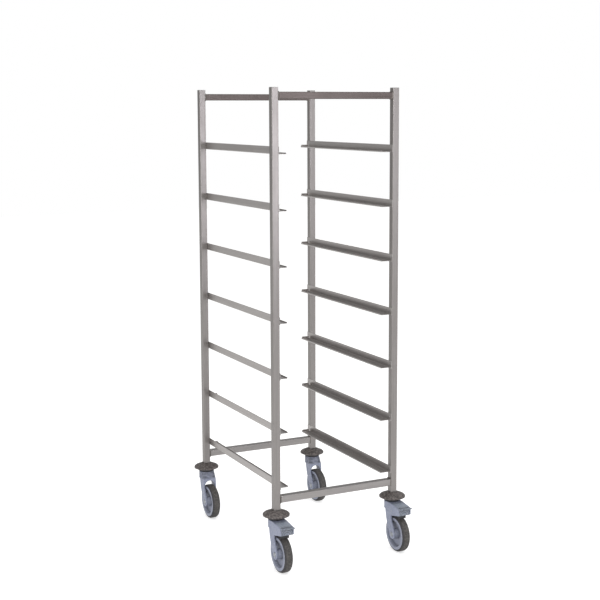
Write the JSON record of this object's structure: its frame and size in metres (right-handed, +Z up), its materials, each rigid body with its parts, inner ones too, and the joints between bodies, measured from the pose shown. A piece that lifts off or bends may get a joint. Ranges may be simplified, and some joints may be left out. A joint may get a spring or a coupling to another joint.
{
  "type": "dishwasher basket trolley",
  "caption": "Tall square-tube trolley with pairs of folded runners for dishwasher baskets, on swivel castors with bumper discs and brakes at the front.",
  "frame": {"origin": "on the floor, under the middle of the space that the trolley takes up with all castors trailing to the front", "axes": "+X to the right across the front, +Y to the back, +Z up"},
  "size_m": [0.581, 0.8355, 1.725],
  "materials": {
    "stainless_steel": "brushed",
    "cap_steel": "satin",
    "zinc_steel": "zinc plated",
    "fork_plastic": "moulded satin",
    "wheel_plastic": "moulded satin",
    "tyre_rubber": "matt",
    "bumper_rubber": "matt",
    "shoe_rubber": "matt",
    "dark_plastic": "moulded satin"
  },
  "bodies": {
    "frame": {"front_bottom_rail": "stainless_steel", "front_left_bumper": "bumper_rubber", "front_left_post": "stainless_steel", "front_left_swivel_pin": "zinc_steel", "front_right_bumper": "bumper_rubber", "front_right_post": "stainless_steel", "front_right_swivel_pin": "zinc_steel", "front_top_rail": "stainless_steel", "left_runner_1": "stainless_steel", "left_runner_2": "stainless_steel", "left_runner_3": "stainless_steel", "left_runner_4": "stainless_steel", "left_runner_5": "stainless_steel", "left_runner_6": "stainless_steel", "left_runner_7": "stainless_steel", "left_runner_rivets": "stainless_steel", "post_caps": "cap_steel", "rear_bottom_rail": "stainless_steel", "rear_left_bumper": "bumper_rubber", "rear_left_post": "stainless_steel", "rear_left_swivel_pin": "zinc_steel", "rear_right_bumper": "bumper_rubber", "rear_right_post": "stainless_steel", "rear_right_swivel_pin": "zinc_steel", "rear_top_rail": "stainless_steel", "right_runner_1": "stainless_steel", "right_runner_2": "stainless_steel", "right_runner_3": "stainless_steel", "right_runner_4": "stainless_steel", "right_runner_5": "stainless_steel", "right_runner_6": "stainless_steel", "right_runner_7": "stainless_steel", "right_runner_rivets": "stainless_steel", "stem_inserts": "dark_plastic"},
    "front_left_castor": {"front_left_axle": "zinc_steel", "front_left_fork": "fork_plastic", "front_left_pedal_pin": "zinc_steel"},
    "front_left_pedal": {"front_left_brake_pedal": "fork_plastic", "front_left_brake_shoe": "shoe_rubber"},
    "front_left_wheel": {"front_left_tyre": "tyre_rubber", "front_left_wheel_bush": "dark_plastic", "front_left_wheel_centre": "wheel_plastic"},
    "front_right_castor": {"front_right_axle": "zinc_steel", "front_right_fork": "fork_plastic", "front_right_pedal_pin": "zinc_steel"},
    "front_right_pedal": {"front_right_brake_pedal": "fork_plastic", "front_right_brake_shoe": "shoe_rubber"},
    "front_right_wheel": {"front_right_tyre": "tyre_rubber", "front_right_wheel_bush": "dark_plastic", "front_right_wheel_centre": "wheel_plastic"},
    "rear_left_castor": {"rear_left_axle": "zinc_steel", "rear_left_fork": "fork_plastic"},
    "rear_left_wheel": {"rear_left_tyre": "tyre_rubber", "rear_left_wheel_bush": "dark_plastic", "rear_left_wheel_centre": "wheel_plastic"},
    "rear_right_castor": {"rear_right_axle": "zinc_steel", "rear_right_fork": "fork_plastic"},
    "rear_right_wheel": {"rear_right_tyre": "tyre_rubber", "rear_right_wheel_bush": "dark_plastic", "rear_right_wheel_centre": "wheel_plastic"}
  },
  "joints": [
    {"name": "front_left_swivel", "type": "hinge", "parent": "frame", "child": "front_left_castor", "pos_m": [-0.2415, -0.30625, 0.184], "axis": [0, 0, 1], "continuous": true},
    {"name": "front_left_wheel_spin", "type": "hinge", "parent": "front_left_castor", "child": "front_left_wheel", "pos_m": [-0.2415, -0.35025, 0.0675], "axis": [1, 0, 0], "continuous": true},
    {"name": "front_left_brake", "type": "hinge", "parent": "front_left_castor", "child": "front_left_pedal", "pos_m": [-0.2415, -0.34925, 0.157], "axis": [1, 0, 0], "range_deg": [0, 6.7]},
    {"name": "front_right_swivel", "type": "hinge", "parent": "frame", "child": "front_right_castor", "pos_m": [0.2415, -0.30625, 0.184], "axis": [0, 0, 1], "continuous": true},
    {"name": "front_right_wheel_spin", "type": "hinge", "parent": "front_right_castor", "child": "front_right_wheel", "pos_m": [0.2415, -0.35025, 0.0675], "axis": [1, 0, 0], "continuous": true},
    {"name": "front_right_brake", "type": "hinge", "parent": "front_right_castor", "child": "front_right_pedal", "pos_m": [0.2415, -0.34925, 0.157], "axis": [1, 0, 0], "range_deg": [0, 6.7]},
    {"name": "rear_left_swivel", "type": "hinge", "parent": "frame", "child": "rear_left_castor", "pos_m": [-0.2415, 0.36875, 0.184], "axis": [0, 0, 1], "continuous": true},
    {"name": "rear_left_wheel_spin", "type": "hinge", "parent": "rear_left_castor", "child": "rear_left_wheel", "pos_m": [-0.2415, 0.32475, 0.0675], "axis": [1, 0, 0], "continuous": true},
    {"name": "rear_right_swivel", "type": "hinge", "parent": "frame", "child": "rear_right_castor", "pos_m": [0.2415, 0.36875, 0.184], "axis": [0, 0, 1], "continuous": true},
    {"name": "rear_right_wheel_spin", "type": "hinge", "parent": "rear_right_castor", "child": "rear_right_wheel", "pos_m": [0.2415, 0.32475, 0.0675], "axis": [1, 0, 0], "continuous": true}
  ]
}
